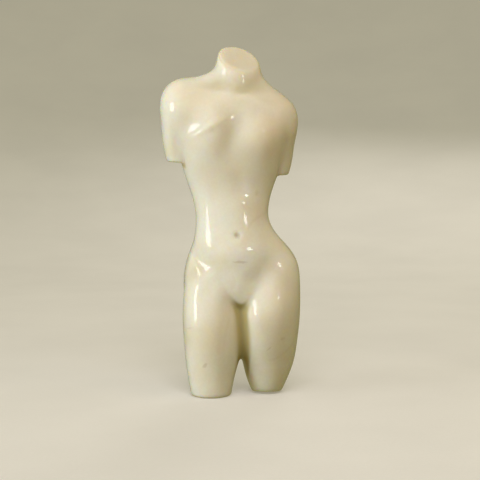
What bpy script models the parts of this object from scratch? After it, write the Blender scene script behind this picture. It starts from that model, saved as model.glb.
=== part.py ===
"""Female torso, carved from one block of pale polished stone.

The figure stands on the cut ends of its two thighs. Its weight is on its own left leg (+X), so the
left hip is high and the left shoulder low, and the right thigh comes forward. The neck and both upper
arms end in plain cuts. The figure faces -Y and its own right side is at -X.

The block is roughed out from lofts, balls and tapered posts that a voxel remesh joins into one skin.
The skin is then eased onto one smooth surface, in which the same masses flow into each other with
named blend widths, and thinned to a mesh of flat facets.
"""
import math

import bmesh
import bpy
import numpy as np
from mathutils import Matrix, Vector

# ------------------------------------------------------------------------------------------
# Driving sizes, in millimetres
# ------------------------------------------------------------------------------------------
MM = 0.001
NAME = "torso"
BASE_LEVEL = 0.0            # the thighs are cut off flat here
CENTRE = (-10, 0)           # middle of the figure in plan, taken to the origin
STONE_COLOUR = (0.80, 0.74, 0.60, 1.0)
STONE_ROUGHNESS = 0.22

ROUGH_VOXEL = 1.7           # grid of the remesh that joins the rough masses
RING_SIDES = 40
RING_STEP = 6.0
FACETS = 8160               # triangles of the finished solid
EASE_STEPS = 10
RIM_HEIGHT = 0.3            # how far the rims of the standing faces have curved up
EASE_LIMIT = 1.6            # furthest that one easing step moves a point

# Rows of level, right edge, left edge, front and back. A curve runs through each column.
TRUNK = (
    (75, -44, 44, -26, 4),
    (90, -48, 48, -31, 14),
    (105, -50, 52, -35, 24),
    (120, -53, 55, -37, 30),
    (135, -52, 55, -37, 31),
    (150, -49, 48, -36, 28),
    (165, -46, 37, -34, 25),
    (178, -45, 30, -32, 24),
    (191, -46, 29, -30, 25),
    (206, -50, 32, -28, 29),
    (224, -56, 38, -28, 33),
    (241, -60, 42, -29, 35),
    (258, -62, 44, -31, 37),
    (276, -61, 44, -30, 37),
    (294, -54, 40, -25, 33),
    (330, -38, 28, -12, 22),
)
RIGHT_THIGH = (
    (-20, -46, -10, -34, 4),
    (0, -50, -9, -36, 7),
    (30, -55, -3, -40, 13),
    (54, -57, 2, -44, 18),
    (77, -58, 3, -44, 24),
    (97, -57, 3, -40, 28),
    (117, -55, 0, -34, 29),
    (137, -50, -8, -26, 26),
    (162, -36, -16, -20, 16),
)
LEFT_THIGH = (
    (-20, 14, 32, -2, 24),
    (0, 12, 43, -15, 30),
    (11, 8, 48, -20, 31),
    (30, 3, 55, -26, 33),
    (54, -2, 59, -34, 34),
    (77, -3, 61, -38, 36),
    (97, -3, 61, -38, 36),
    (117, 0, 59, -33, 34),
    (137, 8, 53, -26, 29),
    (162, 14, 34, -18, 16),
)
RIGHT_ARM = (
    (216, -70, -50, -9, 17),
    (246, -77, -50, -13, 21),
    (276, -80, -46, -18, 24),
    (291, -77, -42, -18, 24),
    (316, -58, -38, -9, 18),
)
LEFT_ARM = (
    (208, 26, 44, 1, 24),
    (236, 28, 53, -4, 27),
    (251, 27, 55, -9, 28),
    (266, 24, 55, -14, 28),
    (280, 20, 52, -16, 26),
    (304, 16, 38, -14, 18),
)
TRUNK_SQUARENESS = 2.15     # 2 is an ellipse, more is squarer
THIGH_SQUARENESS = 2.1
ARM_SQUARENESS = 2.0

TRUNK_TOP = 308
THIGH_TOP = 150
RIGHT_ARM_SPAN = (238.5, 302)
LEFT_ARM_SPAN = (224, 290)

# Balls: centre, then radii.
RIGHT_SHOULDER = ((-57.6, 3, 295.5), (19.6, 19.5, 20.6))
LEFT_SHOULDER = ((33.2, 4, 280), (20, 20, 21.5))
RIGHT_BUTTOCK = ((-27, 17, 106), (27, 26, 31))
LEFT_BUTTOCK = ((29, 18, 110), (27, 26, 31))

# Tapered posts: two ends with a radius at each.
YOKE = ((-57.2, 4, 298.6), 19.4, (33, 4, 279.5), 21.2)
NECK = ((-4, 12, 296), 26.5, (-0.3, 0, 368), 18.8)
RIGHT_TRAPEZIUS = ((-13, 8, 319.6), 14.5, (-55, 5, 300.6), 18)
LEFT_TRAPEZIUS = ((4, 8, 321), 15, (35, 5, 284), 18.5)

# The neck is cut off on a slant that falls forward and to the figure's left.
NECK_CUT_POINT = (-1, 1, 341)
NECK_CUT_NORMAL = (0.24, -0.56, 0.80)
NECK_CUT_EDGE = 6
BASE_EDGE = 5
LEFT_END_SLANT = 0.18       # in front of its hinge line the left thigh's end rises
LEFT_END_HINGE = 0
ARM_CUT_EDGE = 4

GROIN_LEVEL = 93            # lowest point of the belly's edge
GROIN_SLOPE = 1.45
GROIN_ROUNDING = 9.5
GROIN_REACH = 52

# Swells and hollows, measured over the front or the back: centre (x, level), radii (across, along),
# turn in degrees and height. A hollow has a negative height.
FRONT_FORMS = (
    ((-35, 260), (29, 38), 20, 6.5),        # right breast
    ((25, 260), (18, 26), -15, 7.5),        # left breast
    ((-33, 272), (18, 4), -30, 1),          # upper edge of the right breast
    ((-7, 264), (12, 20), 20, -4),          # breastbone
    ((-32, 290), (20, 14), 10, 3.5),        # chest above the right breast
    ((34, 288), (16, 8), 30, -1.5),         # below the left collar bone
    ((1, 308), (9, 5), 0, -1),              # pit of the neck
    ((-66, 292), (18, 14), 0, 1.5),         # front of the right shoulder
    ((-67, 293), (8, 9), 0, -1.5),          # flat on the front of it
    ((46, 256), (4, 20), 0, -2),            # crease at the left armpit
    ((-65, 256), (4, 18), -5, -1.5),        # crease at the right armpit
    ((18, 216), (12, 16), 0, -1),           # under the left ribs
    ((0, 216), (8, 14), -25, -1.5),         # pit of the stomach
    ((-36, 182), (8, 20), 0, 0.5),          # right side of the waist
    ((-6, 149), (22, 15), 10, 3.5),         # belly
    ((-4, 108), (19, 11), 0, 1.5),          # lower belly
    ((18, 120), (12, 30), 40, -2.5),        # left groin
    ((-32, 126), (7, 18), -50, -1),         # right groin
    ((-38, 130), (5, 11), -35, 1),          # fold over the right groin
    ((-39, 140), (9, 16), -30, -2.5),       # hollow inside the right hip bone
    ((34, 136), (11, 15), 0, -1.5),         # hollow inside the left hip bone
    ((-49, 118), (11, 12), 0, -1),          # hollow at the right hip joint
    ((-48, 90), (12, 30), -15, 3),          # front of the right thigh
    ((38, 92), (22, 60), 25, 4),            # front of the left thigh
    ((16, 85), (9, 15), -15, 3),            # inner edge of the left thigh
    ((-14, 64), (9, 36), 0, -2),            # inner side of the right thigh
    ((-4, 164), (2.5, 2.5), 0, -1.5),       # navel
)
BACK_FORMS = (
    ((-35, 266), (15, 20), 0, 4.5),         # right shoulder blade
    ((15, 258), (15, 20), 0, 4.5),          # left shoulder blade
)
SPINE = ((76, 1), (121, 1), (151, -2), (178, -8), (206, -11), (241, -11.5), (276, -8.5), (311, -4), (341, -2))
SPINE_DEPTH = 1.8
SPINE_WIDTH = 6.5

# How softly the masses flow into each other, as blend widths and the levels or depths they change over.
GROIN_FALL = 1.6            # run of the belly's underside for each unit of drop
GROIN_BLEND = 9
GROIN_FADE = (14, -6)       # the V dies away between these, towards the back
TRUNK_TOP_BLEND = 16
YOKE_BLEND = 18
NECK_BLEND = 20
LEFT_TRAPEZIUS_BLEND = 12
RIGHT_TRAPEZIUS_BLEND = 16
ARM_TOP_BLEND = 10
SHOULDER_BLEND = 10
THIGH_TOP_BLEND = 16
BUTTOCK_BLEND = 12
GAP_BLEND = (3, 13)         # sharp at the gap, and as much softer where the thighs are fused
FUSED_FROM = (20, 45)
ARM_BLEND = (4, 20)         # sharp beside the arm's end, and as much softer in the armpit
RIGHT_ARMPIT = (240, 280)
LEFT_ARMPIT = (228, 268)
GROIN_LINE_BLEND = 5
HIP_BLEND = 14              # added towards the hips, between the two distances from the middle
HIP_FADE = (6, 36)
SEAT_BLEND = 12             # added towards the back
SEAT_FADE = (-10, 14)
FRONT_FADE = (8, -20)       # depths between which a front form takes full effect
BACK_FADE = (-2, 16)
SPINE_FADE = (6, 16)
SPINE_START = (134, 160)
SPINE_END = (322, 275)
LEFT_END_INNER = (6, 0)     # the slant belongs to the left thigh alone
LEFT_END_DROP = 8


# ------------------------------------------------------------------------------------------
# Shape functions. Each gives a distance that is negative inside the stone.
# ------------------------------------------------------------------------------------------
def fade(start, end, value):
    """A smooth ramp from 0 at start to 1 at end."""
    share = np.clip((value - start) / (end - start), 0, 1)
    return share * share * (3 - 2 * share)


def soft_min(a, b, width):
    """The lesser of two distances, rounded with a cubic where they come within width of each other."""
    nearness = np.maximum(width - np.abs(a - b), 0) / width
    return np.minimum(a, b) - nearness ** 3 * width / 6


def soft_max(a, b, width):
    """The greater of two distances, rounded in the same way."""
    return -soft_min(-a, -b, width)


def spline(levels, values):
    """A natural cubic curve through the values at the levels, as a function of the level."""
    levels = np.array(levels, float)
    values = np.array(values, float)
    steps = np.diff(levels)
    slopes = np.diff(values) / steps
    count = len(levels)
    matrix = np.eye(count)
    wanted = np.zeros(count)
    for row in range(1, count - 1):
        matrix[row, row - 1:row + 2] = steps[row - 1], 2 * (steps[row - 1] + steps[row]), steps[row]
        wanted[row] = 6 * (slopes[row] - slopes[row - 1])
    bends = np.linalg.solve(matrix, wanted)

    def value_at(level):
        level = np.clip(level, levels[0], levels[-1])
        at = np.clip(np.searchsorted(levels, level) - 1, 0, count - 2)
        step = steps[at]
        low = (levels[at + 1] - level) / step
        high = (level - levels[at]) / step
        curve = (low ** 3 - low) * bends[at] + (high ** 3 - high) * bends[at + 1]
        return low * values[at] + high * values[at + 1] + curve * step * step / 6

    return value_at


def loft_curves(rows):
    """The four edge curves of a table of sections: right, left, front and back."""
    levels, right, left, front, back = zip(*rows)
    return [spline(levels, edge) for edge in (right, left, front, back)]


def loft(points, rows, squareness):
    """Distance to a stack of rounded sections whose four edges follow the table's curves."""
    x, y, z = points
    right, left, front, back = [curve(z) for curve in loft_curves(rows)]
    half_width = (left - right) / 2
    middle = (front + back) / 2
    half_depth = (back - front) / 2
    across = np.abs((x - (left + right) / 2) / half_width) + 1e-9
    along = np.abs((y - middle) / half_depth) + 1e-9
    total = across ** squareness + along ** squareness
    radius = total ** (1 / squareness)
    steepness = np.hypot(across ** (squareness - 1) / half_width, along ** (squareness - 1) / half_depth)
    return (radius - 1) / (steepness * total ** (1 / squareness - 1))


def ball(points, centre, radii):
    """Distance to an ellipsoid, near enough close to its surface."""
    offsets = [p - c for p, c in zip(points, centre)]
    near = np.sqrt(sum((o / r) ** 2 for o, r in zip(offsets, radii))) + 1e-9
    steep = np.sqrt(sum((o / r ** 2) ** 2 for o, r in zip(offsets, radii))) + 1e-9
    return near * (near - 1) / steep


def post(points, start, start_radius, end, end_radius):
    """Distance to a post with round ends that tapers from one radius to another."""
    run = np.subtract(end, start)
    offsets = [p - s for p, s in zip(points, start)]
    share = np.clip(sum(o * r for o, r in zip(offsets, run)) / (run @ run), 0, 1)
    away = np.sqrt(sum((o - share * r) ** 2 for o, r in zip(offsets, run)))
    return away - start_radius - (end_radius - start_radius) * share


def bell(x, z, centre, radii, turn):
    """A bell of height 1 over the upright plane, turned clockwise by some degrees."""
    angle = math.radians(turn)
    across = (x - centre[0]) * math.cos(angle) - (z - centre[1]) * math.sin(angle)
    along = (x - centre[0]) * math.sin(angle) + (z - centre[1]) * math.cos(angle)
    return np.exp(-(across / radii[0]) ** 2 - (along / radii[1]) ** 2)


def forms(x, z, table):
    """The summed height of the swells and hollows in a table."""
    return sum(height * bell(x, z, centre, radii, turn) for centre, radii, turn, height in table)


# ------------------------------------------------------------------------------------------
# The masses of the figure
# ------------------------------------------------------------------------------------------
def trunk(points):
    """Belly, ribs and back, ending below in the broad V of the groin."""
    x, y, z = points
    shape = loft(points, TRUNK, TRUNK_SQUARENESS)
    side = np.sqrt(x * x + GROIN_ROUNDING ** 2) - GROIN_ROUNDING
    rise = GROIN_SLOPE * side * np.exp(-(side / GROIN_REACH) ** 4) * fade(*GROIN_FADE, y)
    shape = soft_max(shape, (GROIN_LEVEL + rise - z) / GROIN_FALL, GROIN_BLEND)
    return soft_max(shape, z - TRUNK_TOP, TRUNK_TOP_BLEND)


def shoulders_and_neck(points, shape):
    """The yoke of the shoulders, the neck and the slopes between them, flowing into the trunk."""
    shape = soft_min(shape, post(points, *YOKE), YOKE_BLEND)
    shape = soft_min(shape, post(points, *NECK), NECK_BLEND)
    shape = soft_min(shape, post(points, *LEFT_TRAPEZIUS), LEFT_TRAPEZIUS_BLEND)
    return soft_min(shape, post(points, *RIGHT_TRAPEZIUS), RIGHT_TRAPEZIUS_BLEND)


def arm(points, rows, span, shoulder):
    """An upper arm under its shoulder ball, cut off level at the lower end of its span."""
    z = points[2]
    shape = soft_max(loft(points, rows, ARM_SQUARENESS), z - span[1], ARM_TOP_BLEND)
    shape = soft_min(shape, ball(points, *shoulder), SHOULDER_BLEND)
    return soft_max(shape, span[0] - z, ARM_CUT_EDGE)


def thighs(points):
    """Both thighs with the buttocks, fused above the gap between them."""
    z = points[2]
    right = soft_max(loft(points, RIGHT_THIGH, THIGH_SQUARENESS), z - THIGH_TOP, THIGH_TOP_BLEND)
    left = soft_max(loft(points, LEFT_THIGH, THIGH_SQUARENESS), z - THIGH_TOP, THIGH_TOP_BLEND)
    right = soft_min(right, ball(points, *RIGHT_BUTTOCK), BUTTOCK_BLEND)
    left = soft_min(left, ball(points, *LEFT_BUTTOCK), BUTTOCK_BLEND)
    return soft_min(right, left, GAP_BLEND[0] + GAP_BLEND[1] * fade(*FUSED_FROM, z))


def figure(points):
    """Distance to the finished surface of the carving, for points given as x, y and z arrays."""
    x, y, z = points
    shape = shoulders_and_neck(points, trunk(points))
    right_arm = arm(points, RIGHT_ARM, RIGHT_ARM_SPAN, RIGHT_SHOULDER)
    left_arm = arm(points, LEFT_ARM, LEFT_ARM_SPAN, LEFT_SHOULDER)
    shape = soft_min(shape, right_arm, ARM_BLEND[0] + ARM_BLEND[1] * fade(*RIGHT_ARMPIT, z))
    shape = soft_min(shape, left_arm, ARM_BLEND[0] + ARM_BLEND[1] * fade(*LEFT_ARMPIT, z))
    blend = GROIN_LINE_BLEND + HIP_BLEND * fade(*HIP_FADE, np.abs(x)) + SEAT_BLEND * fade(*SEAT_FADE, y)
    shape = soft_min(shape, thighs(points), blend)

    shape = shape - fade(*FRONT_FADE, y) * forms(x, z, FRONT_FORMS)
    shape = shape - fade(*BACK_FADE, y) * forms(x, z, BACK_FORMS)
    from_spine = (x - spline(*zip(*SPINE))(z)) / SPINE_WIDTH
    spine_run = fade(*SPINE_FADE, y) * fade(*SPINE_START, z) * fade(*SPINE_END, z)
    shape = shape + SPINE_DEPTH * np.exp(-from_spine ** 2) * spine_run

    normal = np.array(NECK_CUT_NORMAL) / np.linalg.norm(NECK_CUT_NORMAL)
    above_cut = sum((p - c) * n for p, c, n in zip(points, NECK_CUT_POINT, normal))
    shape = soft_max(shape, above_cut, NECK_CUT_EDGE)
    left_end = LEFT_END_SLANT * (LEFT_END_HINGE - y) - LEFT_END_DROP * fade(*LEFT_END_INNER, x)
    return soft_max(shape, BASE_LEVEL + soft_max(left_end, 0, 1) - z, BASE_EDGE)


# ------------------------------------------------------------------------------------------
# Roughing out, in millimetres
# ------------------------------------------------------------------------------------------
def add_loft(block, rows, low, high):
    """A closed stack of rings between two levels of a table of sections."""
    curves = loft_curves(rows)
    rings = []
    for level in np.linspace(low, high, max(2, round((high - low) / RING_STEP)) + 1):
        right, left, front, back = [float(curve(level)) for curve in curves]
        ring = []
        for side in range(RING_SIDES):
            angle = 2 * math.pi * side / RING_SIDES
            x = (left + right) / 2 + (left - right) / 2 * math.cos(angle)
            y = (front + back) / 2 + (back - front) / 2 * math.sin(angle)
            ring.append(block.verts.new((x, y, level)))
        rings.append(ring)
    for lower, upper in zip(rings, rings[1:]):
        for side in range(RING_SIDES):
            after = (side + 1) % RING_SIDES
            block.faces.new((lower[side], lower[after], upper[after], upper[side]))
    block.faces.new(rings[0][::-1])
    block.faces.new(rings[-1])


def add_ball(block, centre, radii):
    """An ellipsoid from a UV sphere primitive."""
    made = bmesh.ops.create_uvsphere(block, u_segments=32, v_segments=20, radius=1.0)
    bmesh.ops.scale(block, vec=radii, verts=made["verts"])
    bmesh.ops.translate(block, vec=centre, verts=made["verts"])


def add_post(block, start, start_radius, end, end_radius):
    """A tapered cone primitive with a ball at each end."""
    run = Vector(end) - Vector(start)
    place = Matrix.Translation((Vector(start) + Vector(end)) / 2)
    bmesh.ops.create_cone(
        block, cap_ends=True, segments=RING_SIDES, radius1=start_radius, radius2=end_radius,
        depth=run.length, matrix=place @ run.to_track_quat("Z", "Y").to_matrix().to_4x4())
    add_ball(block, start, (start_radius, start_radius, start_radius))
    add_ball(block, end, (end_radius, end_radius, end_radius))


def rough_block():
    """The overlapping masses of the figure as one mesh of closed shells."""
    block = bmesh.new()
    add_loft(block, TRUNK, GROIN_LEVEL, TRUNK_TOP)
    add_loft(block, RIGHT_THIGH, BASE_LEVEL, THIGH_TOP)
    add_loft(block, LEFT_THIGH, BASE_LEVEL, THIGH_TOP)
    add_loft(block, RIGHT_ARM, *RIGHT_ARM_SPAN)
    add_loft(block, LEFT_ARM, *LEFT_ARM_SPAN)
    for mass in (RIGHT_SHOULDER, LEFT_SHOULDER, RIGHT_BUTTOCK, LEFT_BUTTOCK):
        add_ball(block, *mass)
    for mass in (YOKE, NECK, RIGHT_TRAPEZIUS, LEFT_TRAPEZIUS):
        add_post(block, *mass)
    cut = bmesh.ops.bisect_plane(
        block, geom=block.verts[:] + block.edges[:] + block.faces[:],
        plane_co=NECK_CUT_POINT, plane_no=NECK_CUT_NORMAL, clear_outer=True)
    rim = [item for item in cut["geom_cut"] if isinstance(item, bmesh.types.BMEdge)]
    bmesh.ops.holes_fill(block, edges=rim)
    mesh = bpy.data.meshes.new("rough block")
    block.to_mesh(mesh)
    block.free()
    return mesh


def with_modifier(mesh, kind, **settings):
    """The mesh as one modifier leaves it."""
    carrier = bpy.data.objects.new("carrier", mesh)
    bpy.context.scene.collection.objects.link(carrier)
    modifier = carrier.modifiers.new(kind.title(), kind)
    for name, value in settings.items():
        setattr(modifier, name, value)
    graph = bpy.context.evaluated_depsgraph_get()
    result = bpy.data.meshes.new_from_object(carrier.evaluated_get(graph))
    bpy.data.objects.remove(carrier)
    bpy.data.meshes.remove(mesh)
    return result


# ------------------------------------------------------------------------------------------
# Easing the block onto the figure's surface
# ------------------------------------------------------------------------------------------
def surface_slope(points, reach=0.05):
    """The gradient of the figure's distance, from differences over a short reach."""
    slopes = []
    for axis in range(3):
        shift = np.zeros((3, 1))
        shift[axis] = reach
        slopes.append((figure(points + shift) - figure(points - shift)) / (2 * reach))
    return np.array(slopes)


def ease(mesh, steps, evenness):
    """Move a mesh's points onto the figure, and towards their neighbours' middle along the way."""
    points = np.empty(len(mesh.vertices) * 3)
    mesh.vertices.foreach_get("co", points)
    points = points.reshape(-1, 3).T.copy()
    ends = np.empty(len(mesh.edges) * 2, dtype=np.int64)
    mesh.edges.foreach_get("vertices", ends)
    first, second = ends.reshape(-1, 2).T
    count = points.shape[1]
    links = np.bincount(first, minlength=count) + np.bincount(second, minlength=count)
    for step in range(steps):
        if step < steps - 2:
            middle = np.array([np.bincount(first, row[second], count) + np.bincount(second, row[first], count)
                               for row in points]) / links
            points += evenness * (middle - points)
        slope = surface_slope(points)
        move = -figure(points) * slope / (slope ** 2).sum(axis=0)
        length = np.sqrt((move ** 2).sum(axis=0))
        points += move * np.minimum(1, EASE_LIMIT / np.maximum(length, 1e-9))
    mesh.vertices.foreach_set("co", points.T.ravel())


def flatten_base(mesh):
    """Set the points of the two standing faces, and of their rims, exactly on the base level."""
    for vertex in mesh.vertices:
        if vertex.co.z - BASE_LEVEL < RIM_HEIGHT:
            vertex.co.z = BASE_LEVEL


def carve():
    """The finished solid as a mesh in metres, its outline centred on the origin."""
    mesh = with_modifier(rough_block(), "REMESH", mode="VOXEL", voxel_size=ROUGH_VOXEL)
    ease(mesh, EASE_STEPS, 0.5)
    kept_share = FACETS / (2 * len(mesh.polygons))
    mesh = with_modifier(mesh, "DECIMATE", ratio=kept_share, use_collapse_triangulate=True)
    ease(mesh, 4, 0)
    flatten_base(mesh)
    for vertex in mesh.vertices:
        vertex.co.x = (vertex.co.x - CENTRE[0]) * MM
        vertex.co.y = (vertex.co.y - CENTRE[1]) * MM
        vertex.co.z = (vertex.co.z - BASE_LEVEL) * MM
    return mesh


# ------------------------------------------------------------------------------------------
# The scene
# ------------------------------------------------------------------------------------------
for old in list(bpy.data.objects):
    bpy.data.objects.remove(old)

stone = bpy.data.materials.new("polished stone")
stone.use_nodes = True
shader = stone.node_tree.nodes["Principled BSDF"]
shader.inputs["Base Color"].default_value = STONE_COLOUR
shader.inputs["Roughness"].default_value = STONE_ROUGHNESS
shader.inputs["Metallic"].default_value = 0.0

sculpture = bpy.data.collections.new("female torso")
bpy.context.scene.collection.children.link(sculpture)

torso = bpy.data.objects.new(NAME, carve())
torso.data.name = NAME
torso.data.materials.append(stone)
torso.data.shade_smooth()
torso.data.set_sharp_from_angle(angle=math.radians(40))
sculpture.objects.link(torso)
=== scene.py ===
"""Female torso carved from one block of pale polished marble, on a pale floor under soft studio lights."""
import math
import bpy
import numpy as np
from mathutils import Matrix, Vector


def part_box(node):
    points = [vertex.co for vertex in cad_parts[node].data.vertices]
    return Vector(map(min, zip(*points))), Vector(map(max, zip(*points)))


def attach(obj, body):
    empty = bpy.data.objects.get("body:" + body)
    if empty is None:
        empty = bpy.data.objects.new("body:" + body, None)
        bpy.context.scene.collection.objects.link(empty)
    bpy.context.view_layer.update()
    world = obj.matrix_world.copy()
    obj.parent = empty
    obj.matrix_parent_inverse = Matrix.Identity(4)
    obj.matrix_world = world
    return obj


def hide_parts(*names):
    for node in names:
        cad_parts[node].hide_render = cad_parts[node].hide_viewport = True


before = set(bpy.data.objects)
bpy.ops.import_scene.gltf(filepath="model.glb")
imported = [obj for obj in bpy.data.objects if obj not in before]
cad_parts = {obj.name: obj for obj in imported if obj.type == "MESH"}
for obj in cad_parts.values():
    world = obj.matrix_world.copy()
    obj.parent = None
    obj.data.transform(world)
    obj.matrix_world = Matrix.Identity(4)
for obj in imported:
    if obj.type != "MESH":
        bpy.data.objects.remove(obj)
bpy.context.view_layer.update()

# ==========================================================================================
# The figure: a nude torso, from a slanting cut across the neck to level cuts through the thighs, with
# its upper arms cut short. It is one block of pale marble, carved with claw and flat chisels, rubbed
# smooth with abrasive stones and polished. It stands on its thigh ends with nothing fixed under it.
# ==========================================================================================
# Lengths of the carving are its millimetres. It faces -Y, and its own right side is at -X.
FIGURE_HEIGHT = 356.1       # half a millimetre over the true one, so that the skin keeps to the solid's box
CENTRE = (-10, 0)           # middle of its outline in plan


# ------------------------------------------------------------------------------------------
# Trunk. Rows of level, right edge, left edge, front and back, with a curve through each column.
# ------------------------------------------------------------------------------------------
TRUNK = (
    (75, -44, 44, -26, 4),
    (90, -48, 48, -31, 14),
    (105, -50, 52, -35, 24),
    (120, -53, 55, -37, 30),
    (135, -52, 55, -37, 31),
    (150, -49, 48, -36, 28),
    (165, -46, 37, -34, 25),
    (178, -45, 30, -32, 24),
    (191, -46, 29, -30, 25),
    (206, -50, 32, -28, 29),
    (224, -56, 38, -28, 33),
    (241, -60, 42, -29, 35),
    (258, -62, 44, -31, 37),
    (276, -61, 44, -30, 37),
    (294, -54, 40, -25, 33),
    (330, -38, 28, -12, 22),
)
TRUNK_SQUARENESS = 2.15     # 2 is an ellipse, more is squarer
TRUNK_TOP = 308
GROIN_LEVEL = 93            # lowest point of the belly's edge
GROIN_SLOPE = 1.45
GROIN_ROUNDING = 9.5
GROIN_REACH = 52
GROIN_FALL = 1.6            # units of height to one of distance, beside the V's slanting edge
GROIN_BLEND = 9
GROIN_FADE = (14, -6)       # the V dies away between these, towards the back
TRUNK_TOP_BLEND = 16
TINY = 1e-9                 # keeps a division off zero


def fade(start, end, value):
    """A smooth ramp from 0 at start to 1 at end: the cubic 3 s s - 2 s s s of the share s."""
    share = np.clip((value - start) / (end - start), 0, 1)
    return share * share * (3 - 2 * share)


def soft_min(a, b, width):
    """The lesser of two distances, rounded by a cubic where they come within width of each other."""
    nearness = np.maximum(width - np.abs(a - b), 0) / width
    return np.minimum(a, b) - nearness ** 3 * width / 6


def soft_max(a, b, width):
    """The greater of two distances, rounded in the same way."""
    return -soft_min(-a, -b, width)


def spline(levels, values):
    """A natural cubic curve through the values at the levels, as a function of the level."""
    levels = np.array(levels, float)
    values = np.array(values, float)
    steps = np.diff(levels)
    slopes = np.diff(values) / steps
    count = len(levels)
    matrix = np.eye(count)
    wanted = np.zeros(count)
    for row in range(1, count - 1):
        matrix[row, row - 1:row + 2] = steps[row - 1], 2 * (steps[row - 1] + steps[row]), steps[row]
        wanted[row] = 6 * (slopes[row] - slopes[row - 1])
    bends = np.linalg.solve(matrix, wanted)

    def value_at(level):
        level = np.clip(level, levels[0], levels[-1])
        at = np.clip(np.searchsorted(levels, level) - 1, 0, count - 2)
        step = steps[at]
        low = (levels[at + 1] - level) / step
        high = (level - levels[at]) / step
        curve = (low ** 3 - low) * bends[at] + (high ** 3 - high) * bends[at + 1]
        return low * values[at] + high * values[at + 1] + curve * step * step / 6

    return value_at


def loft(points, rows, squareness):
    """Distance to a stack of superellipse sections whose four edges follow the table's curves: the
    superellipse radius less 1, over its own slope."""
    x, y, z = points
    levels, *edges = zip(*rows)
    right, left, front, back = [spline(levels, edge)(z) for edge in edges]
    half_width = (left - right) / 2
    half_depth = (back - front) / 2
    across = np.abs((x - (left + right) / 2) / half_width) + TINY
    along = np.abs((y - (front + back) / 2) / half_depth) + TINY
    total = across ** squareness + along ** squareness
    steepness = np.hypot(across ** (squareness - 1) / half_width, along ** (squareness - 1) / half_depth)
    radius = total ** (1 / squareness)
    return (radius - 1) * total / (steepness * radius)


def trunk(points):
    """Belly, ribs and back, cut below by the broad V of the groin, which follows a hyperbola."""
    x, y, z = points
    shape = loft(points, TRUNK, TRUNK_SQUARENESS)
    side = np.sqrt(x * x + GROIN_ROUNDING ** 2) - GROIN_ROUNDING
    rise = GROIN_SLOPE * side * np.exp(-(side / GROIN_REACH) ** 4) * fade(*GROIN_FADE, y)
    shape = soft_max(shape, (GROIN_LEVEL + rise - z) / GROIN_FALL, GROIN_BLEND)
    return soft_max(shape, z - TRUNK_TOP, TRUNK_TOP_BLEND)


# ------------------------------------------------------------------------------------------
# Thighs and buttocks, fused above the gap between the thighs
# ------------------------------------------------------------------------------------------
RIGHT_THIGH = (
    (-20, -46, -10, -34, 4),
    (0, -50, -9, -36, 7),
    (30, -55, -3, -40, 13),
    (54, -57, 2, -44, 18),
    (77, -58, 3, -44, 24),
    (97, -57, 3, -40, 28),
    (117, -55, 0, -34, 29),
    (137, -50, -8, -26, 26),
    (162, -36, -16, -20, 16),
)
LEFT_THIGH = (
    (-20, 14, 32, -2, 24),
    (0, 12, 43, -15, 30),
    (11, 8, 48, -20, 31),
    (30, 3, 55, -26, 33),
    (54, -2, 59, -34, 34),
    (77, -3, 61, -38, 36),
    (97, -3, 61, -38, 36),
    (117, 0, 59, -33, 34),
    (137, 8, 53, -26, 29),
    (162, 14, 34, -18, 16),
)
THIGH_SQUARENESS = 2.1
THIGH_TOP = 150
RIGHT_BUTTOCK = ((-27, 17, 106), (27, 26, 31))      # a ball: its centre, then its radii
LEFT_BUTTOCK = ((29, 18, 110), (27, 26, 31))
THIGH_TOP_BLEND = 16
BUTTOCK_BLEND = 12
GAP_BLEND = (3, 13)         # sharp at the gap, and as much softer where the thighs are fused
FUSED_FROM = (20, 45)


def ball(points, centre, radii):
    """Distance to an ellipsoid: its scaled radius times that radius less 1, over its slope."""
    offsets = [p - c for p, c in zip(points, centre)]
    near = np.sqrt(sum((o / r) ** 2 for o, r in zip(offsets, radii))) + TINY
    steep = np.sqrt(sum((o / r ** 2) ** 2 for o, r in zip(offsets, radii))) + TINY
    return near * (near - 1) / steep


def thighs(points):
    """Each thigh flows into its buttock, and the two meet in a groove that softens upwards."""
    z = points[2]
    right = soft_max(loft(points, RIGHT_THIGH, THIGH_SQUARENESS), z - THIGH_TOP, THIGH_TOP_BLEND)
    left = soft_max(loft(points, LEFT_THIGH, THIGH_SQUARENESS), z - THIGH_TOP, THIGH_TOP_BLEND)
    right = soft_min(right, ball(points, *RIGHT_BUTTOCK), BUTTOCK_BLEND)
    left = soft_min(left, ball(points, *LEFT_BUTTOCK), BUTTOCK_BLEND)
    return soft_min(right, left, GAP_BLEND[0] + GAP_BLEND[1] * fade(*FUSED_FROM, z))


# ------------------------------------------------------------------------------------------
# Shoulders and neck. Each mass is a tapered post: two ends, with a radius at each.
# ------------------------------------------------------------------------------------------
YOKE = ((-57.2, 4, 298.6), 19.4, (33, 4, 279.5), 21.2)
NECK = ((-4, 12, 296), 26.5, (-0.3, 0, 368), 18.8)
RIGHT_TRAPEZIUS = ((-13, 8, 319.6), 14.5, (-55, 5, 300.6), 18)
LEFT_TRAPEZIUS = ((4, 8, 321), 15, (35, 5, 284), 18.5)
YOKE_BLEND = 18
NECK_BLEND = 20
LEFT_TRAPEZIUS_BLEND = 12
RIGHT_TRAPEZIUS_BLEND = 16


def post(points, start, start_radius, end, end_radius):
    """Distance to a post with round ends whose radius changes evenly from start to end."""
    run = np.subtract(end, start)
    offsets = [p - s for p, s in zip(points, start)]
    share = np.clip(sum(o * r for o, r in zip(offsets, run)) / (run @ run), 0, 1)
    away = np.sqrt(sum((o - share * r) ** 2 for o, r in zip(offsets, run)))
    return away - start_radius - (end_radius - start_radius) * share


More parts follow.
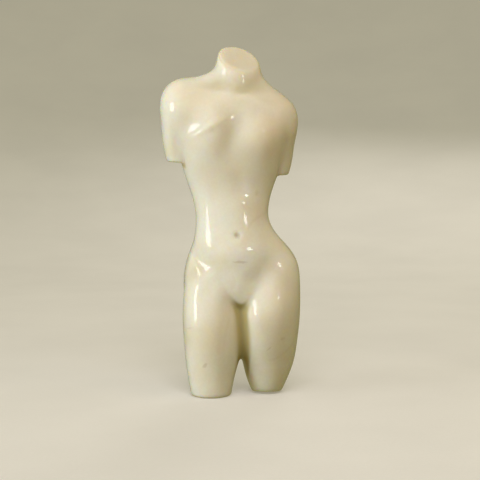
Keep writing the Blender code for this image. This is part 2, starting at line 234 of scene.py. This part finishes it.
def shoulders_and_neck(points, shape):
    """The yoke of the shoulders, the neck and the slopes between them, flowing into the trunk."""
    shape = soft_min(shape, post(points, *YOKE), YOKE_BLEND)
    shape = soft_min(shape, post(points, *NECK), NECK_BLEND)
    shape = soft_min(shape, post(points, *LEFT_TRAPEZIUS), LEFT_TRAPEZIUS_BLEND)
    return soft_min(shape, post(points, *RIGHT_TRAPEZIUS), RIGHT_TRAPEZIUS_BLEND)


# ------------------------------------------------------------------------------------------
# Upper arms, each under its shoulder ball and cut off level
# ------------------------------------------------------------------------------------------
RIGHT_ARM = (
    (216, -70, -50, -9, 17),
    (246, -77, -50, -13, 21),
    (276, -80, -46, -18, 24),
    (291, -77, -42, -18, 24),
    (316, -58, -38, -9, 18),
)
LEFT_ARM = (
    (208, 26, 44, 1, 24),
    (236, 28, 53, -4, 27),
    (251, 27, 55, -9, 28),
    (266, 24, 55, -14, 28),
    (280, 20, 52, -16, 26),
    (304, 16, 38, -14, 18),
)
ARM_SQUARENESS = 2.0
RIGHT_ARM_SPAN = (238.5, 302)
LEFT_ARM_SPAN = (224, 290)
RIGHT_SHOULDER = ((-57.6, 3, 295.5), (19.6, 19.5, 20.6))
LEFT_SHOULDER = ((33.2, 4, 280), (20, 20, 21.5))
ARM_CUT_EDGE = 4
ARM_TOP_BLEND = 10
SHOULDER_BLEND = 10


def arm(points, rows, span, shoulder):
    """The arm's loft and its shoulder ball, cut off level at the lower end of its span."""
    z = points[2]
    shape = soft_max(loft(points, rows, ARM_SQUARENESS), z - span[1], ARM_TOP_BLEND)
    shape = soft_min(shape, ball(points, *shoulder), SHOULDER_BLEND)
    return soft_max(shape, span[0] - z, ARM_CUT_EDGE)


# ------------------------------------------------------------------------------------------
# Swells and hollows of the flesh, then the cuts that end the neck and the thighs
# ------------------------------------------------------------------------------------------
# Centre (x, level), radii (across, along), turn in degrees and height. A hollow's height is negative.
# Five differ a little from the solid's: the upper edge of the right breast, the flat on the right
# shoulder, the fold over the right groin, the hollow at the right hip joint and the navel.
FRONT_FORMS = (
    ((-35, 260), (29, 38), 20, 6.5),        # right breast
    ((25, 260), (18, 26), -15, 7.5),        # left breast
    ((-33, 272), (18, 4), -30, 1.5),        # upper edge of the right breast
    ((-7, 264), (12, 20), 20, -4),          # breastbone
    ((-32, 290), (20, 14), 10, 3.5),        # chest above the right breast
    ((34, 288), (16, 8), 30, -1.5),         # below the left collar bone
    ((1, 308), (9, 5), 0, -1),              # pit of the neck
    ((-66, 292), (18, 14), 0, 1.5),         # front of the right shoulder
    ((-67, 293), (8, 9), 0, -0.3),          # flat on the front of it
    ((46, 256), (4, 20), 0, -2),            # crease at the left armpit
    ((-65, 256), (4, 18), -5, -1.5),        # crease at the right armpit
    ((18, 216), (12, 16), 0, -1),           # under the left ribs
    ((0, 216), (8, 14), -25, -1.5),         # pit of the stomach
    ((-36, 182), (8, 20), 0, 0.5),          # right side of the waist
    ((-6, 149), (22, 15), 10, 3.5),         # belly
    ((-4, 108), (19, 11), 0, 1.5),          # lower belly
    ((18, 120), (12, 30), 40, -2.5),        # left groin
    ((-32, 126), (7, 18), -50, -1),         # right groin
    ((-39, 130), (6, 12), -45, 1),          # fold over the right groin
    ((-39, 140), (9, 16), -30, -2.5),       # hollow inside the right hip bone
    ((34, 136), (11, 15), 0, -1.5),         # hollow inside the left hip bone
    ((-49, 118), (11, 12), 0, -0.2),        # hollow at the right hip joint
    ((-48, 90), (12, 30), -15, 3),          # front of the right thigh
    ((38, 92), (22, 60), 25, 4),            # front of the left thigh
    ((16, 85), (9, 15), -15, 3),            # inner edge of the left thigh
    ((-14, 64), (9, 36), 0, -2),            # inner side of the right thigh
    ((-3, 166), (3, 3), 0, -1.5),           # navel
)
BACK_FORMS = (
    ((-35, 266), (15, 20), 0, 4.5),         # right shoulder blade
    ((15, 258), (15, 20), 0, 4.5),          # left shoulder blade
)
# Fine carving, a millimetre deep at most, that only the finished surface has.
FINE_FORMS = (
    ((-46, 90), (10, 11), 0, -1),           # flat along the front of the right thigh
    ((-28, 127), (7, 7), -50, 0.8),         # firm edge of the belly over the right groin
    ((2, 198), (9, 5), 10, 0.5),            # low swell under the pit of the stomach
    ((22, 264), (6, 6), 0, -0.5),           # flat high on the left breast
    ((-42, 114), (9, 9), 0, 1),             # head of the right thigh's long front muscle
    ((14, 93), (8, 7), 0, -1),              # flat at the top of the left thigh's inner edge
)
SPINE = ((76, 1), (121, 1), (151, -2), (178, -8), (206, -11), (241, -11.5), (276, -8.5), (311, -4),
         (341, -2))
SPINE_DEPTH = 1.8
SPINE_WIDTH = 6.5
SPINE_FADE = (6, 16)        # depths between which the spine's furrow takes full effect
SPINE_START = (134, 160)    # levels between which it takes full effect, from below and from above
SPINE_END = (322, 275)
FRONT_FADE = (8, -20)       # depths between which a front form takes full effect
BACK_FADE = (-2, 16)
ARM_BLEND = (4, 20)         # sharp beside the arm's end, and as much softer in the armpit
RIGHT_ARMPIT = (240, 280)
LEFT_ARMPIT = (228, 268)
GROIN_LINE_BLEND = 5
HIP_BLEND = 14              # added towards the hips, between the two distances from the middle
HIP_FADE = (6, 36)
SEAT_BLEND = 12             # added towards the back
SEAT_FADE = (-10, 14)
NECK_CUT_POINT = (-1, 1, 341)             # the neck is cut on a slant that falls forward and to its left
NECK_CUT_NORMAL = (0.24, -0.56, 0.80)
NECK_CUT_EDGE = 6
BASE_EDGE = 5
LEFT_END_SLANT = 0.18       # in front of its hinge line the left thigh's end rises
LEFT_END_HINGE = 0
LEFT_END_INNER = (6, 0)     # the slant belongs to the left thigh alone
LEFT_END_DROP = 8
LEFT_END_BLEND = 1


def forms(x, z, table):
    """The summed height of the swells and hollows in a table. Each is a bell over the upright plane:
    e to the minus squared distance from its centre, counted in its own radii along turned axes."""
    total = 0
    for centre, radii, turn, height in table:
        angle = math.radians(turn)
        across = (x - centre[0]) * math.cos(angle) - (z - centre[1]) * math.sin(angle)
        along = (x - centre[0]) * math.sin(angle) + (z - centre[1]) * math.cos(angle)
        total = total + height * np.exp(-(across / radii[0]) ** 2 - (along / radii[1]) ** 2)
    return total


def figure(points):
    """Distance to the surface of the whole carving, for points given as x, y and z arrays. The masses
    flow into each other by soft_min, and the cuts are taken off by soft_max."""
    x, y, z = points
    shape = shoulders_and_neck(points, trunk(points))
    right_arm = arm(points, RIGHT_ARM, RIGHT_ARM_SPAN, RIGHT_SHOULDER)
    left_arm = arm(points, LEFT_ARM, LEFT_ARM_SPAN, LEFT_SHOULDER)
    shape = soft_min(shape, right_arm, ARM_BLEND[0] + ARM_BLEND[1] * fade(*RIGHT_ARMPIT, z))
    shape = soft_min(shape, left_arm, ARM_BLEND[0] + ARM_BLEND[1] * fade(*LEFT_ARMPIT, z))
    blend = GROIN_LINE_BLEND + HIP_BLEND * fade(*HIP_FADE, np.abs(x)) + SEAT_BLEND * fade(*SEAT_FADE, y)
    shape = soft_min(shape, thighs(points), blend)

    shape = shape - fade(*FRONT_FADE, y) * (forms(x, z, FRONT_FORMS) + forms(x, z, FINE_FORMS))
    shape = shape - fade(*BACK_FADE, y) * forms(x, z, BACK_FORMS)
    from_spine = (x - spline(*zip(*SPINE))(z)) / SPINE_WIDTH
    spine_run = fade(*SPINE_FADE, y) * fade(*SPINE_START, z) * fade(*SPINE_END, z)
    shape = shape + SPINE_DEPTH * np.exp(-from_spine ** 2) * spine_run

    normal = np.array(NECK_CUT_NORMAL) / np.linalg.norm(NECK_CUT_NORMAL)
    above_cut = sum((p - c) * n for p, c, n in zip(points, NECK_CUT_POINT, normal))
    shape = soft_max(shape, above_cut, NECK_CUT_EDGE)
    left_end = LEFT_END_SLANT * (LEFT_END_HINGE - y) - LEFT_END_DROP * fade(*LEFT_END_INNER, x)
    return soft_max(shape, soft_max(left_end, 0, LEFT_END_BLEND) - z, BASE_EDGE)


# ------------------------------------------------------------------------------------------
# The skin of the carving as a mesh
# ------------------------------------------------------------------------------------------
SKIN_STEP = 1.4             # grid that the skin is first found on
MARGIN = 4                  # room round the figure in that grid
EASE_STEPS = 5
RIM_HEIGHT = 0.12           # skin lower than this belongs to the standing faces and is set level
SETTLING_STEPS = 2          # rounds of setting back alone, after the easing
SLOPE_REACH = 0.05
HOLLOW_REACH = 9.0          # how far out a hollow is felt for


def skin(shape, low, high, step):
    """Points and quads over the surface where a distance is zero. A grid cell that the surface passes
    through holds one point, the mean of where it cuts the cell's edges, and each cut edge gets the
    quad of the four cells round it, turned to face outwards."""
    levels = [np.arange(a, b, step) for a, b in zip(low, high)]
    distance = shape(np.meshgrid(*levels, indexing="ij", sparse=True))
    axes = np.eye(3, dtype=int)
    rounds, places = [], []
    for axis in range(3):
        ahead, aside, beyond = axes[axis], axes[axis - 2], axes[axis - 1]
        side = np.diff((distance < 0).astype(np.int8), axis=axis)
        cut = np.argwhere(side)
        here, there = distance[tuple(cut.T)], distance[tuple((cut + ahead).T)]
        places.append(cut + ahead * (here / (here - there))[:, None])
        ring = np.stack((cut - aside - beyond, cut - beyond, cut, cut - aside), axis=1)
        inward = side[tuple(cut.T)] > 0
        ring[inward] = ring[inward][:, ::-1]
        rounds.append(ring)
    rings, places = np.concatenate(rounds), np.concatenate(places)
    numbers = np.ravel_multi_index(rings.reshape(-1, 3).T, distance.shape)
    cells, corners = np.unique(numbers, return_inverse=True)
    share = np.bincount(corners)
    points = np.array([np.bincount(corners, np.repeat(row, 4)) / share for row in places.T])
    return points * step + np.reshape(low, (3, 1)), corners.reshape(-1, 4)


def slope(points):
    """The gradient of the figure's distance, from differences over a short reach."""
    shifts = np.eye(3)[:, :, None] * SLOPE_REACH
    rises = [figure(points + shift) - figure(points - shift) for shift in shifts]
    return np.array([rise / (2 * SLOPE_REACH) for rise in rises])


def ease(points, quads, steps):
    """Moves points evenly apart over the surface, towards the mean of their neighbours, and sets them
    back on it by Newton's step: distance times gradient over the gradient squared."""
    first, second = quads.ravel(), np.roll(quads, -1, axis=1).ravel()
    count = points.shape[1]
    links = np.bincount(first, minlength=count)
    for step in range(steps + SETTLING_STEPS):
        if step < steps:
            points = np.array([np.bincount(first, row[second], count) / links for row in points])
        gradient = slope(points)
        points = points - figure(points) * gradient / (gradient ** 2).sum(axis=0)
    return points


reach_low, reach_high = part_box("torso")
MM = (reach_high.z - reach_low.z) / FIGURE_HEIGHT
corner_low = [reach_low.x / MM + CENTRE[0] - MARGIN, reach_low.y / MM + CENTRE[1] - MARGIN, -MARGIN]
corner_high = [reach_high.x / MM + CENTRE[0] + MARGIN, reach_high.y / MM + CENTRE[1] + MARGIN,
               FIGURE_HEIGHT + MARGIN]
points, quads = skin(figure, corner_low, corner_high, SKIN_STEP)
points = ease(points, quads, EASE_STEPS)
outward = slope(points)
outward /= np.sqrt((outward ** 2).sum(axis=0))
# How closely the stone closes round each point, which the marble turns into painted shade in the folds.
hollow = np.clip(1 - figure(points + outward * HOLLOW_REACH) / HOLLOW_REACH, 0, 1)
points[2, points[2] < RIM_HEIGHT] = 0
points -= np.reshape([*CENTRE, 0], (3, 1))

carving = bpy.data.meshes.new("torso_carving")
carving.from_pydata(points.T * MM, [], quads.tolist())
carving.attributes.new("hollow", "FLOAT", "POINT").data.foreach_set("value", hollow)
carving.shade_smooth()
torso = bpy.data.objects.new("torso_carving", carving)
bpy.context.scene.collection.objects.link(torso)
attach(torso, "root")
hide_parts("torso")

# ------------------------------------------------------------------------------------------
# The marble: close-grained, cream to ivory, with soft clouds, a few thin veins and some small stains.
# Light goes up to about a centimetre into it. Its folds are painted darker and yellower, as shade with a
# little old wax, and it is polished to a high gloss.
# ------------------------------------------------------------------------------------------
CREAM = (0.81, 0.73, 0.60, 1)
IVORY = (0.84, 0.79, 0.71, 1)
BLUSH = (0.82, 0.69, 0.53, 1)
VEIN_TAN = (0.62, 0.52, 0.33, 1)
# The brown of the real stains, and of the painted shade on the belly, under the ribs and in the navel.
STAIN_AND_SHADE_BROWN = (0.36, 0.24, 0.08, 1)
# Painted shade in the folds, partly old wax.
FOLD_SHADE_OLIVE = (0.50, 0.40, 0.16, 1)

# Marks on the front, three of them painted shade: middle (x, level), half length, half width, rise in
# degrees, strength.
MARKS_AND_PAINTED_SHADE = (
    ((0, 139), 9, 1.5, 0, 0.35),            # scratch across the lower belly
    ((-35, 35), 4, 2, 50, 0.35),            # brown spot low on the right thigh
    ((29, 51), 6, 1, 35, 0.2),              # thin vein low on the left thigh
    ((43, 61), 3, 2, 30, 0.15),             # faint spot further along it
    ((-51, 72), 4, 1, 15, 0.15),            # faint line on the right thigh
    ((17, 207), 3, 5, -20, 0.2),            # painted shade under the edge of the left ribs
    ((12, 126), 13, 9, 20, 0.1),            # broad painted shade on the lower belly
    ((-3, 165), 4, 4, 0, 0.4),              # painted shade in the navel
)
MARK_DEPTH = (-40, 32)      # a mark's middle in y, and how far it reaches from there into the stone
MARK_EDGE = (0.3, 1.1)      # shares of its half size between which a mark fades out
WOBBLE = 0.003              # how raggedly the edges of the marks run, in metres

# Scales are waves to the metre. Edges are a pattern's own values between which it fades in or out, and a
# share is how much of its colour it then brings in.
SWIRL_SCALE = 9.0
SWIRL_SHIFT = 0.06          # how far the swirl carries the clouds, in metres
CLOUD_SCALE = 16.0
CLOUD_EDGES = (0.36, 0.64)
DRIFT_SCALE = 8.0
DRIFT_EDGES = (0.5, 0.7)
BLUSH_SHARE = 0.7
SEAM_SCALE = 6.0
VEIN_HALF_WIDTH = 0.014     # how far from the middle of the seams' values a vein still shows
VEIN_GAPS = (0.42, 0.56)    # edges in the clouds, over which the veins die out
VEIN_SHARE = 0.16
GRAIN_SCALE = 380.0
GRAIN_EDGES = (0.3, 0.75)
GRAIN_SHARE = 0.10
RAGGED_SCALE = 240.0
NOISE_MIDDLE = 0.5
# The painted shade in the folds: edges in how enclosed a point is, and the share of olive it brings in.
FOLD_EDGES = (0.03, 0.45)
FOLD_SHADE_SHARE = 0.9
POLISH = (0.10, 0.15)       # roughness of the creamiest stone and of the most ivory
POLISH_EDGES = (0.3, 0.7)
FOLD_DULLING = 0.12         # roughness that the folds add, and then the marks
MARK_DULLING = 0.5
WAX_COAT = 0.6              # the coat of wax, worn off the marks
WEAR_EDGES = (0.1, 0.5)
WAX_ROUGHNESS = 0.05
RIPPLE_SCALE = 55.0
RIPPLE_HEIGHT = 0.00012     # in metres
GRAIN_IN_RIPPLE = 0.03
REFRACTION = 1.5
LIGHT_REACH = 0.012         # how far red light goes into the stone, in metres
REACH_BY_COLOUR = (1.0, 0.7, 0.32)


def add(tree, kind, inputs, **settings):
    """A new node with its settings, and a value or another node's output in each named input."""
    made = tree.nodes.new("ShaderNode" + kind)
    for name, value in settings.items():
        setattr(made, name, value)
    for name, value in inputs.items():
        if isinstance(value, bpy.types.NodeSocket):
            tree.links.new(value, made.inputs[name])
        else:
            made.inputs[name].default_value = value
    return made


def mixed(tree, share, first, second):
    """The colour that is a share of the way from the first to the second."""
    return add(tree, "Mix", {0: share, 6: first, 7: second}, data_type="RGBA").outputs[2]


def spread(tree, value, low, high, to_low=0.0, to_high=1.0):
    """A value carried along an S curve from one range to another and held inside it."""
    inputs = {0: value, 1: low, 2: high, 3: to_low, 4: to_high}
    return add(tree, "MapRange", inputs, interpolation_type="SMOOTHSTEP").outputs[0]


def sums(tree, operation, *values):
    """Up to three values put together by one arithmetic operation."""
    return add(tree, "Math", dict(enumerate(values)), operation=operation).outputs[0]


def vectors(tree, operation, *values):
    """Up to three vectors put together by one operation."""
    return add(tree, "VectorMath", dict(enumerate(values)), operation=operation).outputs[0]


def mark_group():
    """A soft-edged oval in the stone's skin: 1 in its middle and 0 outside it."""
    tree = bpy.data.node_groups.new("stone mark", "ShaderNodeTree")
    for name in ("Vector", "Middle", "Half Size"):
        tree.interface.new_socket(name, in_out="INPUT", socket_type="NodeSocketVector")
    tree.interface.new_socket("Rise", in_out="INPUT", socket_type="NodeSocketFloat")
    tree.interface.new_socket("Mask", in_out="OUTPUT", socket_type="NodeSocketFloat")
    given = tree.nodes.new("NodeGroupInput").outputs
    about = {"Vector": given["Vector"], "Center": given["Middle"], "Angle": given["Rise"]}
    turned = add(tree, "VectorRotate", about, rotation_type="Y_AXIS")
    offset = vectors(tree, "SUBTRACT", turned.outputs[0], given["Middle"])
    scaled = vectors(tree, "DIVIDE", offset, given["Half Size"])
    reach = add(tree, "VectorMath", {0: scaled}, operation="LENGTH").outputs["Value"]
    mask = spread(tree, reach, *MARK_EDGE, 1.0, 0.0)
    tree.links.new(mask, tree.nodes.new("NodeGroupOutput").inputs["Mask"])
    return tree


marble = bpy.data.materials.new("polished marble")
marble.use_nodes = True
tree = marble.node_tree
shader = tree.nodes["Principled BSDF"]
place = tree.nodes.new("ShaderNodeTexCoord").outputs["Object"]

# Clouds, read through a slow swirl so that they lengthen and fold as the stone's bedding does.
swirl = add(tree, "TexNoise", {"Vector": place, "Scale": SWIRL_SCALE, "Detail": 2.0})
bent = vectors(tree, "MULTIPLY_ADD", swirl.outputs["Color"], (SWIRL_SHIFT,) * 3, place)
cloudy = {"Vector": bent, "Scale": CLOUD_SCALE, "Detail": 5.0, "Roughness": 0.55}
clouds = add(tree, "TexNoise", cloudy).outputs[0]
drifts = add(tree, "TexNoise", {"Vector": bent, "Scale": DRIFT_SCALE, "Detail": 3.0}).outputs[0]
grain = add(tree, "TexNoise", {"Vector": place, "Scale": GRAIN_SCALE, "Detail": 3.0}).outputs[0]
stone = mixed(tree, spread(tree, clouds, *CLOUD_EDGES), CREAM, IVORY)
stone = mixed(tree, spread(tree, drifts, *DRIFT_EDGES, 0.0, BLUSH_SHARE), stone, BLUSH)

# Thin veins run where a noise passes through its middle, and come and go with the clouds.
seams = add(tree, "TexNoise", {"Vector": bent, "Scale": SEAM_SCALE, "Detail": 1.5}).outputs[0]
off_middle = sums(tree, "ABSOLUTE", sums(tree, "SUBTRACT", seams, NOISE_MIDDLE))
vein = spread(tree, off_middle, 0.0, VEIN_HALF_WIDTH, 1.0, 0.0)
vein = sums(tree, "MULTIPLY", vein, spread(tree, clouds, *VEIN_GAPS, VEIN_SHARE, 0.0))
stone = mixed(tree, vein, stone, VEIN_TAN)
stone = mixed(tree, spread(tree, grain, *GRAIN_EDGES, GRAIN_SHARE, 0.0), stone, VEIN_TAN)

# Scratches, spots, a vein, and painted shade on the lower belly, under the left ribs and in the navel, with
# ragged edges.
ragged = add(tree, "TexNoise", {"Vector": place, "Scale": RAGGED_SCALE, "Detail": 2.0}).outputs["Color"]
shift = vectors(tree, "SUBTRACT", ragged, (NOISE_MIDDLE,) * 3)
edged = vectors(tree, "MULTIPLY_ADD", shift, (WOBBLE,) * 3, place)
stone_mark = mark_group()
marks_and_painted_shade = 0.0
for (x, level), half_length, half_width, rise, strength in MARKS_AND_PAINTED_SHADE:
    mark = add(tree, "Group", {}, node_tree=stone_mark)
    tree.links.new(edged, mark.inputs["Vector"])
    mark.inputs["Middle"].default_value = Vector((x - CENTRE[0], MARK_DEPTH[0] - CENTRE[1], level)) * MM
    mark.inputs["Half Size"].default_value = Vector((half_length, MARK_DEPTH[1], half_width)) * MM
    mark.inputs["Rise"].default_value = math.radians(rise)
    marks_and_painted_shade = sums(tree, "MULTIPLY_ADD", mark.outputs[0], strength, marks_and_painted_shade)
# Stains and painted shade, mixed into the stone's colour.
stone = mixed(tree, marks_and_painted_shade, stone, STAIN_AND_SHADE_BROWN)

# Painted shade, with a little old wax, in the folds: the nearer the stone across a hollow, the darker and
# yellower.
hollow_here = add(tree, "Attribute", {}, attribute_name="hollow").outputs["Fac"]
fold_shade = spread(tree, hollow_here, *FOLD_EDGES, 0.0, FOLD_SHADE_SHARE)
tree.links.new(mixed(tree, fold_shade, stone, FOLD_SHADE_OLIVE), shader.inputs["Base Color"])

# Polish: a little duller in the folds and much duller in the marks, over a skin that is not quite true.
dulled = sums(tree, "MULTIPLY_ADD", fold_shade, FOLD_DULLING, spread(tree, clouds, *POLISH_EDGES, *POLISH))
dulled = sums(tree, "MULTIPLY_ADD", marks_and_painted_shade, MARK_DULLING, dulled)
tree.links.new(spread(tree, marks_and_painted_shade, *WEAR_EDGES, WAX_COAT, 0.0), shader.inputs["Coat Weight"])
tree.links.new(dulled, shader.inputs["Roughness"])
ripple = add(tree, "TexNoise", {"Vector": place, "Scale": RIPPLE_SCALE, "Detail": 1.0}).outputs[0]
skin_height = sums(tree, "MULTIPLY_ADD", grain, GRAIN_IN_RIPPLE, ripple)
bump = add(tree, "Bump", {"Height": skin_height, "Strength": 1.0, "Distance": RIPPLE_HEIGHT})
tree.links.new(bump.outputs[0], shader.inputs["Normal"])
shader.inputs["IOR"].default_value = REFRACTION
shader.inputs["Subsurface Weight"].default_value = 1.0
shader.inputs["Subsurface Radius"].default_value = REACH_BY_COLOUR
shader.inputs["Subsurface Scale"].default_value = LIGHT_REACH
shader.inputs["Coat Roughness"].default_value = WAX_ROUGHNESS
carving.materials.append(marble)

# ==========================================================================================
# The studio: a round floor of pale matt paint that sweeps up into a backdrop. A soft key light stands at
# the figure's right and a weak small one at its left. Five broad even ones stand round it, one of them
# low and one behind.
# ==========================================================================================
CAMERA_DISTANCE = 1.25
CAMERA_RISE = math.radians(5)
AIM_HEIGHT = 0.1575
AIM = Vector((CENTRE[0] * -MM, CENTRE[1] * -MM, AIM_HEIGHT))    # on the trunk's own middle line
VIEW_WIDTH = 0.492          # what the frame takes in at the figure
SENSOR = 36
FAR_LIMIT = 40

FLOOR_RADIUS = 4
SWEEP_RADIUS = 3
WALL_HEIGHT = 5
FLOOR_RINGS = (0.0001, 0.3, 0.6)    # radii in the flat middle
SWEEP_FACETS = 16
FLOOR_FACETS = 96
FLOOR_GLOW = 0.24           # a faint light of the paint's own, which keeps the backdrop even
PAINT_THIN = (0.66, 0.64, 0.61, 1)
PAINT_FULL = (0.71, 0.69, 0.66, 1)
PAINT_ROUGHNESS = (0.72, 0.84)
ROLLER_SCALE = 5.0
ROLLER_EDGES = (0.3, 0.7)
STIPPLE_SCALE = 320.0
STIPPLE_SHARE = 0.35
STIPPLE_STRENGTH = 0.3
STIPPLE_HEIGHT = 0.0004     # in metres
COVER_EDGES = (0.4, 0.9)

floor_turns = np.linspace(0, 2 * math.pi, FLOOR_FACETS + 1)[:-1]
sweep = np.linspace(0, math.pi / 2, SWEEP_FACETS + 1)
sweep_out = FLOOR_RADIUS - SWEEP_RADIUS + SWEEP_RADIUS * np.sin(sweep)
sweep_up = SWEEP_RADIUS - SWEEP_RADIUS * np.cos(sweep)
profile_out = np.concatenate((FLOOR_RINGS, sweep_out, [FLOOR_RADIUS]))
profile_up = np.concatenate((np.zeros(len(FLOOR_RINGS)), sweep_up, [WALL_HEIGHT]))


def turned(out, up, turns):
    """Points and quads of a profile turned about the upright axis: x and y are its distance out times
    the cosine and sine of each turn, and each quad joins two steps of the profile at two turns."""
    level = np.tile(up, (len(turns), 1))
    points = np.stack((np.outer(np.cos(turns), out), np.outer(np.sin(turns), out), level), axis=2)
    here = np.arange(len(turns))[:, None] * len(out)
    after = np.roll(here, -1)
    along = np.arange(len(out) - 1)[None, :]
    corners = (here + along, here + along + 1, after + along + 1, after + along)
    quads = np.stack(np.broadcast_arrays(*corners), axis=2)
    return points.reshape(-1, 3), quads.reshape(-1, 4)


floor_points, floor_quads = turned(profile_out, profile_up, floor_turns)
floor_mesh = bpy.data.meshes.new("floor")
floor_mesh.from_pydata(floor_points, [], floor_quads.tolist())
floor_mesh.shade_smooth()
floor = bpy.data.objects.new("floor", floor_mesh)
bpy.context.scene.collection.objects.link(floor)
paint = bpy.data.materials.new("floor paint")
paint.use_nodes = True
paint_tree = paint.node_tree
painted = paint_tree.nodes["Principled BSDF"]
on_floor = paint_tree.nodes.new("ShaderNodeTexCoord").outputs["Object"]
rolled = add(paint_tree, "TexNoise", {"Vector": on_floor, "Scale": ROLLER_SCALE, "Detail": 4.0}).outputs[0]
stippling = {"Vector": on_floor, "Scale": STIPPLE_SCALE, "Detail": 2.0}
stipple = add(paint_tree, "TexNoise", stippling).outputs[0]
coverage = sums(paint_tree, "MULTIPLY_ADD", stipple, STIPPLE_SHARE, rolled)
coverage = spread(paint_tree, coverage, *COVER_EDGES)
paint_colour = mixed(paint_tree, coverage, PAINT_THIN, PAINT_FULL)
paint_tree.links.new(paint_colour, painted.inputs["Base Color"])
paint_finish = spread(paint_tree, rolled, *ROLLER_EDGES, *PAINT_ROUGHNESS)
paint_tree.links.new(paint_finish, painted.inputs["Roughness"])
relief = {"Height": stipple, "Strength": STIPPLE_STRENGTH, "Distance": STIPPLE_HEIGHT}
stippled = add(paint_tree, "Bump", relief)
paint_tree.links.new(stippled.outputs[0], painted.inputs["Normal"])
painted.inputs["Emission Color"].default_value = PAINT_FULL
painted.inputs["Emission Strength"].default_value = FLOOR_GLOW
floor_mesh.materials.append(paint)
floor.visible_diffuse = False
floor.visible_glossy = False
floor.visible_shadow = False    # the low light reaches the figure through it, as off a bright table

camera = bpy.data.objects.new("camera", bpy.data.cameras.new("camera"))
towards_camera = Vector((0, -math.cos(CAMERA_RISE), math.sin(CAMERA_RISE)))
camera.location = AIM + towards_camera * CAMERA_DISTANCE
camera.rotation_euler = towards_camera.to_track_quat("Z", "Y").to_euler()
camera.data.sensor_width = SENSOR
camera.data.lens = SENSOR * CAMERA_DISTANCE / VIEW_WIDTH
camera.data.clip_end = FAR_LIMIT
bpy.context.scene.collection.objects.link(camera)
bpy.context.scene.camera = camera

LAMP_SPREAD = math.radians(140)     # slats in front of each lamp keep its light off the wall beside it


def softbox(name, turn, rise, distance, size, power, colour):
    """A rectangular light on a sphere round the figure. Turn is to the camera's right and rise is above
    the camera's own line, both in degrees. It faces the figure."""
    turn, rise = math.radians(turn), math.radians(rise)
    aside = Vector((math.sin(turn) * math.cos(rise), 0, 0))
    upward = Vector((0, math.sin(CAMERA_RISE), math.cos(CAMERA_RISE))) * math.sin(rise)
    direction = aside + upward + towards_camera * math.cos(turn) * math.cos(rise)
    lamp = bpy.data.lights.new(name, "AREA")
    lamp.shape = "RECTANGLE"
    lamp.size, lamp.size_y = size
    lamp.energy = power
    lamp.spread = LAMP_SPREAD
    lamp.color = colour
    light = bpy.data.objects.new(name, lamp)
    light.location = AIM + direction * distance
    light.rotation_euler = direction.to_track_quat("Z", "Y").to_euler()
    light.visible_camera = False
    bpy.context.scene.collection.objects.link(light)
    return light


softbox("key", turn=-62, rise=11, distance=1.6, size=(0.44, 0.5), power=1.7, colour=(1, 1, 1))
softbox("second", turn=28, rise=13, distance=1.6, size=(0.16, 0.16), power=0.34, colour=(1, 1, 1))

# The rest are broad and even, and the polish doesn't mirror them: turn, rise, power and colour. Left and
# right are the camera's.
BROAD_DISTANCE = 2.2
BROAD_SIZE = (1.2, 1.2)
BROAD_LAMPS = {
    "left": (-62, 5, 19, (0.76, 0.9, 1)),
    "low left": (-60, -45, 0.4, (1, 0.95, 0.9)),
    "front": (0, 45, 13.2, (1, 0.95, 0.97)),
    "right": (60, 45, 3.6, (1, 0.84, 0.6)),
    "behind": (165, 30, 7.2, (1, 0.95, 0.9)),
}
broad = {}
for name, (turn, rise, power, colour) in BROAD_LAMPS.items():
    broad[name] = softbox(name, turn, rise, BROAD_DISTANCE, BROAD_SIZE, power, colour)
    broad[name].visible_glossy = False

# The left one stands in the sweep of the backdrop, so it lights the figure alone.
lit_by_left = bpy.data.collections.new("lit by the left softbox")
lit_by_left.objects.link(torso)
broad["left"].light_linking.receiver_collection = lit_by_left

# Faint warm light from all round.
ROOM_COLOUR = (1, 0.92, 0.42, 1)
ROOM_STRENGTH = 0.255
world = bpy.data.worlds.new("studio")
world.use_nodes = True
world.node_tree.nodes["Background"].inputs["Color"].default_value = ROOM_COLOUR
world.node_tree.nodes["Background"].inputs["Strength"].default_value = ROOM_STRENGTH
bpy.context.scene.world = world
bpy.context.scene.view_settings.view_transform = "Standard"
